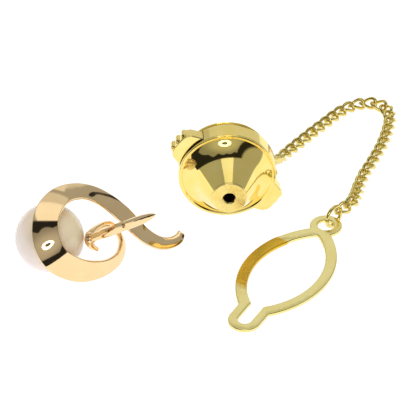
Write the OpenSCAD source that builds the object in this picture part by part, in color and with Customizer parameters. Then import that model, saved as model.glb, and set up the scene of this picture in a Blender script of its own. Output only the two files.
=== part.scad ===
// Tie tack: a pearl ribbon ornament with its pin, and a push-button clutch with a chain and a button loop.
// Units are millimetres. +Z is up, the pieces lie on z = 0, and the clutch nose points to -Y.
// The ornament is built in its own frame, with +Z along the pin, and then laid down on its pearl and tail.
// The clutch is built in its own frame, with +Z towards the nose and z = 0 at the rim.

/* [Clutch] */
// Outer radius of the drum
drum_r = 5.6; // [5.4:0.1:6]
// Depth of the drum's side wall
drum_depth = 2.1; // [2.1:0.1:2.6]
// Distance from the rim to the nose face
nose_reach = 4.5; // [4:0.1:5.5]
// Radius of the flat nose face
nose_r = 2.05; // [1.8:0.05:2.4]
// Radius of the hole that takes the pin
pin_hole_r = 0.65; // [0.62:0.01:0.7]
// Turn of the clutch on the table, in degrees
clutch_yaw = 2.5; // [0:0.5:5]
// Direction of the push buttons across the drum, in degrees
button_angle = -37.5; // [-39:0.5:-32]

/* [Push buttons] */
// Radius of the ribbed outer wall, from the drum's axis
button_r = 7.3; // [7:0.05:7.4]
// Half of a button's width
button_half_w = 2.2; // [2.1:0.05:2.3]
// Height of a button along the drum's axis
button_h = 1.5; // [1.4:0.05:1.6]
// Number of ribs on a button
rib_count = 3; // [2:1:3]

/* [Chain] */
// Number of links in the chain
link_count = 35; // [35:1:35]
// Diameter of the chain wire
link_wire = 0.4; // [0.36:0.01:0.44]
// Half length of a link's centre line
link_half_l = 0.98; // [0.96:0.01:1]
// Half width of a link's centre line
link_half_w = 0.63; // [0.6:0.01:0.66]
// Rise of a link's centre line at its twist
link_rise = 0.32; // [0.3:0.01:0.36]

/* [Button loop] */
// Thickness of the stamped sheet
sheet_t = 0.4; // [0.3:0.05:0.45]
// Half width of the leaf outside
leaf_half_w = 5; // [4.9:0.05:5.1]
// Half width of the opening
opening_half_w = 3.73; // [3.6:0.01:3.8]
// Distance from the keyhole's end to the eye's centre
loop_l = 19.1; // [19:0.1:19.2]
// Radius of the eye's hole
eye_hole_r = 0.95; // [0.9:0.01:1]
// Outer radius of the eye
eye_r = 1.85; // [1.8:0.05:1.9]

/* [Ornament] */
// Diameter of the pearl
pearl_d = 7.8; // [7.5:0.1:7.8]
// Diameter of the pin
pin_d = 1.1; // [1.05:0.01:1.15]
// Length of the pin, from the curl to its point
pin_l = 10.8; // [10.5:0.1:11.5]
// Thickness of the ribbon at its middle
ribbon_t = 0.8; // [0.6:0.05:0.9]
// Thickness of the ribbon at its edges
ribbon_edge_t = 0.3; // [0.2:0.05:0.4]

/* [Hidden] */
LINK_NODES = [for (i = [1 : link_count]) str("chain_link_", i < 10 ? "0" : "", i)];
CLUTCH_NODES = ["case_band", "front_bell", "rim_bead", "nose_bush", "base_plate", "guide_pins",
    "rear_cover", "rear_ring", "chain_lug", "spring_upper", "spring_lower",
    "grip_plate_left", "grip_plate_right", "push_button_left", "push_button_right"];
ORNAMENT_NODES = ["ribbon", "pearl", "pearl_cup", "pearl_peg", "post_collar", "tack_post"];
$fn = 96;

GOLD_PLATE = [0.93, 0.76, 0.28];
GOLD_DARK = [0.72, 0.56, 0.2];
KARAT_GOLD = [0.85, 0.66, 0.4];
NACRE = [0.96, 0.91, 0.87];
STEEL = [0.6, 0.6, 0.6];

// Where the pieces lie on the table, from the middle of the whole lay-out
clutch_at = [1.555, -0.73, drum_r];
chain_offset = [-0.655, 0.68, 0];
loop_at = [3.395, -20.56];
loop_dir = 60.3;
pearl_at = [-18.355, -10.35, pearl_d / 2];

// ---------- shared functions ----------
function unit(v) = v / norm(v);
// Point on a smooth curve between b and c, with a and d as the points before and after
function blend(a, b, c, d, t) =
    0.5 * (2 * b + (c - a) * t + (2 * a - 5 * b + 4 * c - d) * t * t + (3 * b - a - 3 * c + d) * t * t * t);
// Every point of a smooth curve through pts, with steps points to a span
function smooth(pts, steps) = let (n = len(pts)) [
    for (k = [0 : (n - 1) * steps])
        let (i = min(floor(k / steps), n - 2), t = k / steps - i,
            before = i > 0 ? pts[i - 1] : 2 * pts[0] - pts[1],
            after = i < n - 2 ? pts[i + 2] : 2 * pts[n - 1] - pts[n - 2])
        blend(before, pts[i], pts[i + 1], after, t)];
function place(v) = [v[0], v[1], v[2]];
// Direction of a list of points at index i
function heading(pts, i) = unit(place(pts[min(i + 1, len(pts) - 1)]) - place(pts[max(i - 1, 0)]));
// Running total of the distance along a list of points
function travelled(pts) = [
    for (i = 0, s = 0; i < len(pts); i = i + 1,
        s = i < len(pts) ? s + norm(place(pts[i]) - place(pts[i - 1])) : s) s];

// A solid skin over rings of equal length: closed on itself, or capped at both ends
module skin(rings, closed = false) {
    n = len(rings);
    m = len(rings[0]);
    points = [for (ring = rings) for (p = ring) p];
    sides = [for (i = [0 : n - (closed ? 1 : 2)]) for (j = [0 : m - 1])
        let (a = i * m + j, b = i * m + (j + 1) % m, c = (a + m) % (n * m), d = (b + m) % (n * m))
        [a, c, d, b]];
    caps = closed ? [] : [[for (j = [0 : m - 1]) j], [for (j = [m - 1 : -1 : 0]) (n - 1) * m + j]];
    polyhedron(points, concat(sides, caps), convexity = 6);
}

// ---------- clutch ----------
wall = 0.35;
inner_r = drum_r - wall;
slot_h = button_h + 0.27;
button_z = -drum_depth + 0.2;
plate_t = 0.4;
plate_half_w = 1.6;
plate_end = 0.9;
button_root = 3.9;
flange_half_w = 2.65;
travel = 0.6;
dome_r = 4.5;
dome_depth = 2.4;
lug_r = 0.75;
lug_wire = 0.32;
lug_angle = -20;
lug_depth = -3.4;
lug_reach = 5.5;
pin_spread = [1.3, 3.9];

module in_clutch() translate(clutch_at) rotate([0, 0, clutch_yaw]) rotate([90, 0, 0]) children();
module in_button(side) rotate([0, 0, button_angle + (side < 0 ? 180 : 0)]) children();

module ring_solid(outer, inner, z, h) {
    translate([0, 0, z]) difference() {
        cylinder(r = outer, h = h);
        translate([0, 0, -1]) cylinder(r = inner, h = h + 2);
    }
}

module case_band() color(GOLD_PLATE) in_clutch() difference() {
    ring_solid(drum_r, inner_r, -drum_depth, drum_depth);
    for (side = [-1, 1]) in_button(side)
        translate([inner_r - 2, -button_half_w - 0.07, button_z - 0.07])
            cube([4, 2 * button_half_w + 0.14, slot_h]);
}

// Flared outline of the bell: an arc, almost flat at the rim, that steepens into a straight cone to the nose
bell_rim = [5.15, 0];
bell_nose = [nose_r, nose_reach - 0.25];
rim_slope = 28;
cone_slope = 61;
bell_steps = 18;
bell_r = ((bell_rim[0] - nose_r) * sin(cone_slope) - bell_nose[1] * cos(cone_slope))
    / (1 - cos(cone_slope - rim_slope));
function bell_at(slope, inset) = [
    bell_rim[0] - bell_r * (sin(slope) - sin(rim_slope)) - inset * sin(slope),
    bell_r * (cos(rim_slope) - cos(slope)) - inset * cos(slope)];
function bell_outline(inset) = concat(
    [for (i = [0 : bell_steps]) bell_at(rim_slope + (cone_slope - rim_slope) * i / bell_steps, inset)],
    [bell_nose - inset * [sin(cone_slope), cos(cone_slope)]]);

module front_bell() color(GOLD_PLATE) in_clutch() rotate_extrude() {
    outer = bell_outline(0);
    inner = bell_outline(0.3);
    n = len(outer);
    polygon(concat(outer, [for (i = [n - 1 : -1 : 0]) [inner[i][0], max(inner[i][1], 0)]]));
}

module rim_bead() color(GOLD_PLATE) in_clutch() rotate_extrude() {
    translate([bell_rim[0], 0]) square([drum_r - bell_rim[0] - 0.08, 0.1]);
    translate([bell_rim[0] + 0.04, 0]) square([drum_r - bell_rim[0] - 0.16, 0.16]);
}

module nose_bush() color(GOLD_DARK) in_clutch() difference() {
    union() {
        translate([0, 0, nose_reach - 0.25]) cylinder(r1 = nose_r, r2 = nose_r - 0.1, h = 0.25);
        translate([0, 0, 0.6]) cylinder(r = 1.25, h = nose_reach - 0.8);
    }
    translate([0, 0, -1]) cylinder(r = pin_hole_r, h = nose_reach + 2);
    translate([0, 0, nose_reach - 0.15]) cylinder(r1 = pin_hole_r, r2 = pin_hole_r + 0.15, h = 0.151);
}

module base_plate() color(GOLD_DARK) in_clutch()
    ring_solid(inner_r - 0.05, pin_hole_r + 0.2, -drum_depth - 0.3, 0.3);

module guide_pins() color(GOLD_DARK) in_clutch() for (x = [-1, 1], y = [-1, 1])
    rotate([0, 0, button_angle]) translate([x * pin_spread[0], y * pin_spread[1], -drum_depth])
        cylinder(r = 0.35, h = drum_depth - 0.1);

// Rounded outline of the rear dome, from its edge to the flat crown
crown_steps = 8;
function dome(r, h) = [for (i = [0 : crown_steps]) let (a = 90 * i / crown_steps)
    [dome_r - 1 + (r - dome_r + 1) * cos(a), -h * sin(a)]];

module rear_cover() color(GOLD_PLATE) in_clutch() translate([0, 0, -drum_depth - 0.3]) rotate_extrude() {
    outer = dome(inner_r - 0.2, dome_depth);
    inner = dome(inner_r - 0.5, dome_depth - 0.3);
    polygon(concat(outer, [[0, -dome_depth - 0.15], [0, -dome_depth + 0.15]],
        [for (i = [crown_steps : -1 : 0]) inner[i]]));
}

module rear_ring() color(GOLD_DARK) in_clutch()
    ring_solid(inner_r + 0.15, inner_r - 0.05, -drum_depth - 0.3, 0.3);

module chain_lug() color(GOLD_PLATE) in_clutch()
rotate([0, 0, lug_angle]) translate([lug_reach, 0, lug_depth]) {
    rotate([0, -35, 0]) rotate([90, 0, 0])
        rotate_extrude() translate([lug_r, 0]) circle(d = lug_wire, $fn = 24);
    translate([-lug_r - 0.75, 0, 0]) rotate([0, 90, 0]) cylinder(r = 0.3, h = 0.8);
}

// Half of the button's outline beside its ribbed front, from its root outwards
function button_side(y) = [[button_root, y * button_half_w], [button_root + 1.3, y * button_half_w],
    [button_root + 2.6, y * (button_half_w - 0.45)]];

module push_button(side) color(GOLD_PLATE) in_clutch() in_button(side) translate([0, 0, button_z]) {
    front_r = button_r - 0.25;
    front_half = asin((button_half_w - 0.95) / front_r);
    lower = button_side(-1);
    upper = button_side(1);
    linear_extrude(button_h) {
        translate([button_root, -flange_half_w]) square([0.35, 2 * flange_half_w]);
        polygon(concat(lower,
            [for (i = [-8 : 8]) front_r * [cos(front_half * i / 8), sin(front_half * i / 8)]],
            [upper[2], upper[1], upper[0]]));
    }
    // ribs stop short of the smooth front face
    linear_extrude(button_h - 0.3) for (i = [0 : rib_count - 1])
        rotate([0, 0, (i - (rib_count - 1) / 2) * 8])
            translate([button_r - 0.38, 0]) circle(r = 0.38, $fn = 32);
}

// Each plate's hole lies to one side of the pin until its button is pinched
module grip_plate(side) color(STEEL) in_clutch() in_button(side)
    translate([0, 0, side < 0 ? -1.6 : -1.1]) difference() {
        union() {
            translate([-plate_end, -plate_half_w, 0])
                cube([button_root + plate_end, 2 * plate_half_w, plate_t]);
            translate([-plate_end, 0, 0]) cylinder(r = plate_half_w, h = plate_t);
        }
        translate([travel - 0.05, 0, -1]) cylinder(r = 0.7, h = 3);
    }

module spring(across) color(STEEL) in_clutch() rotate([0, 0, button_angle]) {
    turns = 7;
    coil_r = 0.4;
    span = 2 * button_root - 0.1;
    steps = turns * 10;
    wire_r = 0.11;
    skin([for (k = [0 : steps]) let (a = 360 * k / 10, x = (k / steps - 0.5) * span)
        [for (j = [0 : 4]) let (w = 72 * j, rr = coil_r + wire_r * cos(w))
            [x - wire_r * sin(w), across + rr * cos(a), -1.1 + rr * sin(a)]]]);
}

// ---------- chain ----------
// Middle of the chain from the lug to the jump ring: x, y, z, roll in degrees
route = [
    [7.34, 3.3, 3.49, -60], [7.5, 4.8, 3, -50], [7.85, 6.6, 1.9, -36], [8.5, 8.6, 1, -20],
    [9.9, 11, 0.65, -6], [11.5, 13.2, 0.6, 0], [13, 15.2, 0.6, 0], [14.5, 17.1, 0.6, 0],
    [16.1, 19.1, 0.6, 0], [18, 20.6, 0.6, 5], [20, 20.9, 0.68, 15], [21.6, 19.85, 0.75, 24],
    [22.15, 17.75, 0.78, 30], [21.7, 14.9, 0.78, 32], [20.8, 11.7, 0.78, 30], [19.6, 8.5, 0.78, 28],
    [18.5, 5.9, 0.78, 28], [17.7, 3.2, 0.92, 24], [17.2, 0.8, 1.3, 14], [16.55, -1.3, 1.68, 0],
    [15.55, -2.4, 1.6, -12]];
walk = smooth(route, 8);
walked = travelled(walk);
chain_l = walked[len(walk) - 1];
pitch = chain_l / (link_count - 1);
function along(s) = [for (k = [0 : 3])
    lookup(s, [for (i = [0 : len(walk) - 1]) [walked[i], walk[i][k]]])];
function link_at(i) = place(along(i * pitch)) + chain_offset;
function link_dir(i) =
    unit(place(along(min(i * pitch + 0.3, chain_l))) - place(along(max(i * pitch - 0.3, 0))));
// Middle between two links, where one turns on the next

module chain_link(i) color(GOLD_PLATE) {
    segments = 18;
    sides = 6;
    x = link_dir(i);
    flat = unit(cross([0, 0, 1], x));
    roll = along(i * pitch)[3];
    y = cos(roll) * flat + sin(roll) * cross(x, flat);
    z = cross(x, y);
    skin([for (k = [0 : segments - 1]) let (t = 360 * k / segments,
        p = [link_half_l * cos(t), link_half_w * sin(t), link_rise * sin(2 * t)],
        d = unit([-link_half_l * sin(t), link_half_w * cos(t), 2 * link_rise * cos(2 * t)]),
        a = unit(cross(d, [0, 0, 1])), b = cross(d, a))
        [for (j = [0 : sides - 1]) let (w = 360 * j / sides,
            q = p + link_wire / 2 * (cos(w) * a + sin(w) * b))
            link_at(i) + q[0] * x + q[1] * y + q[2] * z]], closed = true);
}

// ---------- jump ring and button loop ----------
ring_wire = 0.45;
ring_mean_r = 1.23;
ring_dir = 48;
ring_z = ring_mean_r + ring_wire / 2;
sheet_drop = 0.83;
loop_tilt = asin((ring_z - sheet_drop) / (loop_l + 1.9));
neck_r = 1.88;
slot_half_w = 0.78;
leaf_r = 10.9;
opening_r = 9.3;
leaf_mid = 9.6;
eye_wall = (eye_hole_r + eye_r) / 2;
eye_at = [loop_at[0] + loop_l * cos(loop_dir), loop_at[1] + loop_l * sin(loop_dir)];
ring_at = [eye_at[0] + eye_wall * cos(ring_dir), eye_at[1] + eye_wall * sin(ring_dir), ring_z];

module jump_ring() color(GOLD_PLATE) translate(ring_at) rotate([0, 0, ring_dir]) rotate([90, 0, 0])
    rotate_extrude() translate([ring_mean_r, 0]) circle(d = ring_wire, $fn = 32);

module leaf(r, half_w) intersection() {
    translate([leaf_mid, r - half_w]) circle(r = r, $fn = 180);
    translate([leaf_mid, half_w - r]) circle(r = r, $fn = 180);
}

module loop_outline() difference() {
    union() {
        leaf(leaf_r, leaf_half_w);
        circle(r = neck_r);
        translate([0, -neck_r]) square([3, 2 * neck_r]);
        translate([loop_l, 0]) circle(r = eye_r);
        translate([loop_l - 2.6, -1.3]) square([2, 2.6]);
    }
    leaf(opening_r, opening_half_w);
    circle(r = slot_half_w);
    translate([0, -slot_half_w]) square([4, 2 * slot_half_w]);
    translate([loop_l, 0]) circle(r = eye_hole_r);
}

module button_loop() color(GOLD_PLATE) translate([loop_at[0], loop_at[1], 0]) rotate([0, 0, loop_dir])
    translate([-neck_r, 0, 0]) rotate([0, -loop_tilt, 0]) translate([neck_r, 0, 0])
        linear_extrude(sheet_t) loop_outline();

// ---------- ornament ----------
// The pin leans away from upright, and the ribbon's plane is square to it
pin_lean = 52.9;
pin_azimuth = -30.5;
ribbon_spin = 72.4;
pearl_seat = [-2.49, 0, -4.25];
lean_x = [cos(pin_lean) * cos(pin_azimuth), cos(pin_lean) * sin(pin_azimuth), -sin(pin_lean)];
lean_y = [-sin(pin_azimuth), cos(pin_azimuth), 0];
plane_x = cos(ribbon_spin) * lean_x + sin(ribbon_spin) * lean_y;
plane_y = cos(ribbon_spin) * lean_y - sin(ribbon_spin) * lean_x;
plane_z = cross(plane_x, plane_y);
function from_ornament(p) = pearl_at + (p[0] - pearl_seat[0]) * plane_x + (p[1] - pearl_seat[1]) * plane_y
    + (p[2] - pearl_seat[2]) * plane_z;
module in_ornament() translate(from_ornament([0, 0, 0])) rotate([0, pin_lean, pin_azimuth])
    rotate([0, 0, ribbon_spin]) children();

// Middle of the ribbon from its tail to its inner curl: x, y, z, width, lean in degrees
stations = [
    [11.1, -4.6, 2.25, 0.95, 0], [10.5, -5.05, 2.15, 1.2, 0], [9.3, -5.2, 2, 1.3, 0], [7.7, -4.8, 1.9, 1.55, 0],
    [6.1, -3.6, 1.8, 1.9, 0], [5.2, -2, 1.5, 2.1, 0], [4.5, -0.3, 1.1, 2.2, 0], [3.5, 1.4, 0.7, 2.2, 5],
    [2.2, 2.9, 0.2, 2.2, 15], [0.3, 3.9, -0.2, 2.3, 30], [-2.1, 4.05, -0.6, 2.5, 40], [-4.3, 3, -0.9, 2.8, 45],
    [-5.7, 1.3, -1, 2.9, 47], [-6.2, -0.9, -1, 3, 45], [-5.4, -3, -1, 3, 42], [-2.7, -4.8, -0.95, 2.7, 42],
    [0.3, -5.4, -0.7, 2.2, 42], [2.8, -5, -0.55, 1.7, 36], [4.2, -4, -0.55, 1.3, 28], [4.8, -2.8, -0.6, 1.1, 35],
    [4.6, -1.4, -0.8, 1.1, 60], [3.5, -0.5, -0.8, 1.2, 80], [2, -0.4, -0.8, 1.2, 85], [0.4, -0.8, -0.8, 1.2, 85],
    [-0.5, -1.7, -0.7, 1.1, 85], [-0.4, -2.6, -0.7, 0.8, 85], [0.3, -3.2, -0.7, 0.3, 85]];

module ribbon() color(KARAT_GOLD) {
    band = smooth(stations, 4);
    // front half of the section, from the outer edge to the inner: shares of the width and of the thickness
    front = [[-0.5, 0.5], [-0.35, 0.8], [0, 1], [0.35, 0.8], [0.5, 0.5]];
    skin([for (i = [0 : len(band) - 1]) let (
        along_band = heading(band, i),
        flat = unit(cross([0, 0, 1], along_band)),
        lean = band[i][4],
        across = cos(lean) * flat + sin(lean) * cross(along_band, flat),
        back = cross(along_band, across),
        w = band[i][3],
        t = min(ribbon_t, 0.35 + 0.3 * w))
        concat(
            [for (f = front) from_ornament(place(band[i]) + w * f[0] * across
                - (ribbon_edge_t + (t - ribbon_edge_t) * (f[1] - 0.5) * 2) * back)],
            [for (s = [0.47, 0.25, 0, -0.25, -0.47]) from_ornament(place(band[i]) + w * s * across
                + 0.06 * (1 - 4 * s * s) * back)])]);
}

// The pearl sits off the left side of the ring, behind the broadest part of the band
peg_dir = unit([-0.73, 0, 0.68]);
module in_pearl() in_ornament()
    translate(pearl_seat) rotate([0, atan2(peg_dir[0], peg_dir[2]), 0]) children();

module pearl() color(NACRE) in_pearl() difference() {
    sphere(d = pearl_d, $fn = 64);
    translate([0, 0, 0.5]) cylinder(r = 0.4, h = pearl_d);
    translate([0, 0, pearl_d / 2 - 0.12]) cylinder(r = 1.2, h = 1);
}

module pearl_cup() color(KARAT_GOLD) in_pearl() difference() {
    translate([0, 0, pearl_d / 2 - 0.1]) cylinder(r1 = 1.15, r2 = 0.85, h = 0.32);
    translate([0, 0, 0]) cylinder(r = 0.38, h = pearl_d);
}

module pearl_peg() color(KARAT_GOLD) in_pearl()
    translate([0, 0, 0.6]) cylinder(r = 0.36, h = pearl_d / 2 - 0.4);

post_at = [-0.46, -1.63, -0.3];
post_base_r = 0.42;
post_straight = [2.3, 5.9];
module post_collar() color(KARAT_GOLD) in_ornament() translate(post_at) difference() {
    cylinder(r1 = 0.75, r2 = 0.53, h = 0.4);
    rotate_extrude() polygon([[0, -1], [post_base_r - 0.05, -1], [post_base_r + 0.028, 0.56], [0, 0.56]]);
}

// The pin swells from its base, is straight for the cloth, and has a neck that the clutch's plates grip
module tack_post() color(KARAT_GOLD) in_ornament() translate(post_at) rotate_extrude() {
    r = pin_d / 2;
    neck = post_straight[1];
    shoulder = neck + 0.5;
    polygon([[0, 0], [post_base_r, 0], [post_base_r + 0.02, 0.4], [r, post_straight[0]], [r, neck],
        [r - 0.14, neck + 0.22], [r, shoulder], [r - 0.015, shoulder + 1.5], [r * 0.9, shoulder + 2.4],
        [r * 0.66, pin_l - 0.9], [r * 0.36, pin_l - 0.3], [r * 0.12, pin_l], [0, pin_l]]);
}

case_band();
front_bell();
rim_bead();
nose_bush();
base_plate();
guide_pins();
rear_cover();
rear_ring();
chain_lug();
spring(2.3);  // spring_upper
spring(-2.3);  // spring_lower
grip_plate(-1);  // grip_plate_left
grip_plate(1);  // grip_plate_right
push_button(-1);  // push_button_left
push_button(1);  // push_button_right
for (i = [0 : link_count - 1]) chain_link(i);
jump_ring();
button_loop();
ribbon();
pearl();
pearl_cup();
pearl_peg();
post_collar();
tack_post();
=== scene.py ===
import math

import bmesh
import bpy
import numpy as np
from mathutils import Matrix, Vector, geometry, noise


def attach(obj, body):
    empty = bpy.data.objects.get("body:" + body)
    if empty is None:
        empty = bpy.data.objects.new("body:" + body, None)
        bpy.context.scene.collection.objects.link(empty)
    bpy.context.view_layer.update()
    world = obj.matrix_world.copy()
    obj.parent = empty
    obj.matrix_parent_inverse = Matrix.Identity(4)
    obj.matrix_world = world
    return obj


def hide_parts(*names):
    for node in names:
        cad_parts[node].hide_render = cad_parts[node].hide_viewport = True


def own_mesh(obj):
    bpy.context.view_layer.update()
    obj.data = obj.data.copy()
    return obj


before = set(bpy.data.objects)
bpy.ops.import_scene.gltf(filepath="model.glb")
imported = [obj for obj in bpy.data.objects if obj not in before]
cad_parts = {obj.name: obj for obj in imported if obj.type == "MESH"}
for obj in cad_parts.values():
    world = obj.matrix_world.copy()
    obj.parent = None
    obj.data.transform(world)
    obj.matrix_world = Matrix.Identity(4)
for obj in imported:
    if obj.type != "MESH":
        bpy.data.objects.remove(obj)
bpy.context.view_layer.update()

scene = bpy.context.scene
MM = 0.001          # sizes below are in millimetres unless they say otherwise, and every mesh is in metres


# ---------- placing ----------
def move(x, y, z):
    place = np.eye(4)
    place[:3, 3] = (x, y, z)
    return place


def turn(axis, degrees):
    return np.array(Matrix.Rotation(math.radians(degrees), 4, axis))


def placed(points, place):
    """Points moved by a placing matrix."""
    points = np.asarray(points, float)
    return (np.c_[points, np.ones(len(points))] @ place.T)[:, :3]


def unit(v):
    v = np.asarray(v, float)
    return v / np.linalg.norm(v)


def heading(degrees):
    """The unit direction in plan at an angle from X."""
    return np.array([math.cos(math.radians(degrees)), math.sin(math.radians(degrees))])


def share(value, start, end):
    """How far a value has gone from start to end, between 0 and 1."""
    return min(1.0, max(0.0, (value - start) / (end - start)))


def round_angles(count):
    return np.linspace(0, 2 * math.pi, count, endpoint=False)


# where the clutch, the ornament with its pearl and pin, and the button loop lie, as in the CAD
CLUTCH = move(1.555, -0.73, 5.6) @ turn("Z", 2.5) @ turn("X", 90)
BUTTON_ANGLE = -37.5
TILT = turn("Z", -30.5) @ turn("Y", 52.9) @ turn("Z", 72.4)
PEARL_R = 3.9
PEARL_AT = np.array([-18.355, -10.35, PEARL_R])
PEARL_SEAT = np.array([-2.49, 0, -4.25])
ORNAMENT = move(*(PEARL_AT - TILT[:3, :3] @ PEARL_SEAT)) @ TILT
PEG = unit([-0.73, 0, 0.68])
PEARL = ORNAMENT @ move(*PEARL_SEAT) @ turn("Y", math.degrees(math.atan2(PEG[0], PEG[2])))
POST = ORNAMENT @ move(-0.46, -1.63, -0.3)
LOOP_AT, LOOP_DIR, LOOP_L = (3.395, -20.56), 60.3, 19.1


# ---------- materials ----------
class Tree:
    """A node tree, with short calls for the nodes used here."""

    def __init__(self, tree):
        self.tree = tree

    def add(self, kind, inputs=(), **settings):
        node = self.tree.nodes.new("ShaderNode" + kind)
        for key, value in settings.items():
            setattr(node, key, value)
        for key, value in dict(inputs).items():
            if isinstance(value, bpy.types.NodeSocket):
                self.tree.links.new(value, node.inputs[key])
            else:
                node.inputs[key].default_value = value
        return node

    def math(self, operation, a, b=0.0):
        return self.add("Math", {0: a, 1: b}, operation=operation).outputs[0]

    def all_of(self, *masks):
        """The product of some masks."""
        product = masks[0]
        for mask in masks[1:]:
            product = self.math("MULTIPLY", product, mask)
        return product

    def step(self, value, start, end):
        """0 before start, 1 after end, and smooth between them."""
        return self.add("MapRange", {"Value": value, "From Min": start, "From Max": end},
                        interpolation_type="SMOOTHSTEP").outputs[0]

    def mix(self, factor, a, b):
        return self.add("Mix", {"Factor": factor, "A": a, "B": b}).outputs[0]


class Finish(Tree):
    """A material around its Principled shader. The noises' scales are per metre."""

    def __init__(self, name):
        self.material = bpy.data.materials.new(name)
        self.material.use_nodes = True
        super().__init__(self.material.node_tree)
        self.shader = self.tree.nodes["Principled BSDF"]
        self.where = self.add("TexCoord").outputs["Object"]

    def local(self, place):
        """X, Y and Z of the shaded point, in metres, in the frame of a place."""
        back = Matrix(place.tolist()).inverted()
        mapping = self.add("Mapping", {"Vector": self.where, "Rotation": back.to_euler(),
                                       "Location": back.to_translation() * MM}, vector_type="POINT")
        return tuple(self.add("SeparateXYZ", {"Vector": mapping.outputs[0]}).outputs)

    def stretched(self, scale, turned):
        return self.add("Mapping", {"Vector": self.where, "Scale": scale, "Rotation": turned}).outputs[0]

    def noise(self, scale, detail=3, vector=None, distortion=0.0):
        return self.add("TexNoise", {"Vector": vector or self.where, "Scale": scale, "Detail": detail,
                                     "Distortion": distortion}).outputs["Fac"]

    def ramp(self, factor, low, high):
        node = self.add("ValToRGB", {"Fac": factor})
        for stop, position, colour in zip(node.color_ramp.elements, (0.3, 0.7), (low, high)):
            stop.position = position
            stop.color = (*colour, 1)
        return node.outputs["Color"]

    def spread(self, factor, low, high):
        return self.add("MapRange", {"Value": factor, "To Min": low, "To Max": high}).outputs[0]

    def bump(self, height, distance, strength, normal=None):
        inputs = {"Height": height, "Distance": distance * MM, "Strength": strength}
        if normal:
            inputs["Normal"] = normal
        return self.add("Bump", inputs).outputs[0]

    def feed(self, **sockets):
        for key, value in sockets.items():
            socket = self.shader.inputs[key.replace("_", " ")]
            if isinstance(value, bpy.types.NodeSocket):
                self.tree.links.new(value, socket)
            else:
                socket.default_value = value
        return self.material


def gold(name, colour, deep, rough, grain, scratch):
    """Metal with slow shifts of tone, a fine polishing grain and faint handling marks."""
    wear = 0.24
    n = Finish(name)
    tone = n.noise(420, 4)
    marks = n.noise(1.0, 2, n.stretched((9000, 900, 2600), (0.4, 0.7, 0.2)))
    fine = n.noise(grain, 5)
    blotch = n.noise(900, 3, distortion=1.5)
    return n.feed(Base_Color=n.ramp(tone, deep, colour), Metallic=1.0,
                  Roughness=n.spread(blotch, rough * (1 - wear), rough * (1 + wear)),
                  Normal=n.bump(fine, scratch * 0.5, 0.5, n.bump(marks, scratch, 0.6)))


def turned_gold(name, colour, deep, rough, axis_place, pitch):
    """Lathe-turned metal: fine rings around the axis of a place."""
    n = Finish(name)
    x, y, _ = n.local(axis_place)
    flat = n.add("CombineXYZ", {"X": x, "Y": y})
    radius = n.add("VectorMath", {0: flat.outputs[0]}, operation="LENGTH").outputs["Value"]
    wave = n.math("SINE", n.math("MULTIPLY", radius, 2 * math.pi / (pitch * MM)))
    wobble = n.noise(2400, 3)
    return n.feed(Base_Color=n.ramp(n.noise(700, 4), deep, colour), Metallic=1.0,
                  Roughness=n.spread(wobble, rough * 0.7, rough * 1.3),
                  Normal=n.bump(n.math("MULTIPLY", wave, wobble), 0.006, 0.7))


# painted shade: a near-black brown metal for the inside of the nose's hole
def bore_painted_shade():
    n = Finish("bore_shadow")
    return n.feed(Base_Color=n.ramp(n.noise(3000, 3), (0.10, 0.05, 0.02), (0.2, 0.11, 0.04)), Metallic=1.0,
                  Roughness=0.45)


def spring_steel():
    n = Finish("spring_steel")
    return n.feed(Base_Color=n.ramp(n.noise(1500, 4), (0.42, 0.43, 0.45), (0.62, 0.62, 0.63)), Metallic=1.0,
                  Roughness=n.spread(n.noise(4000, 3), 0.22, 0.4))


def nacre():
    """Pearl: pink, cream and golden overtones under a clear, lustrous skin."""
    slope, reach = (0.55, 0.0, 0.83), 3.4       # the overtones follow one another along the slope
    n = Finish("pearl_nacre")
    along_slope = n.add("VectorMath", {0: n.where, 1: slope}, operation="DOT_PRODUCT").outputs["Value"]
    middle = float(np.dot(slope, PEARL_AT))
    side = n.add("MapRange", {"Value": along_slope, "From Min": (middle - reach) * MM,
                              "From Max": (middle + reach) * MM}).outputs[0]
    cloud = n.spread(n.noise(260, 3, distortion=0.8), -0.3, 0.3)
    overtones = n.add("ValToRGB", {"Fac": n.math("ADD", side, cloud)})
    stops = overtones.color_ramp.elements
    stops[0].color = (1.0, 0.86, 0.85, 1)
    stops[1].color = (0.97, 0.81, 0.56, 1)
    stops.new(0.35).color = (0.99, 0.84, 0.74, 1)
    stops.new(0.65).color = (0.97, 0.80, 0.64, 1)
    return n.feed(Base_Color=overtones.outputs["Color"], Roughness=n.spread(n.noise(800, 4), 0.2, 0.3),
                  Subsurface_Weight=0.35, Subsurface_Radius=(1.0, 0.75, 0.65), Subsurface_Scale=0.0008,
                  Coat_Weight=0.35, Coat_Roughness=0.07, Coat_IOR=1.6,
                  Normal=n.bump(n.noise(1100, 3), 0.004, 0.4))


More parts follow.
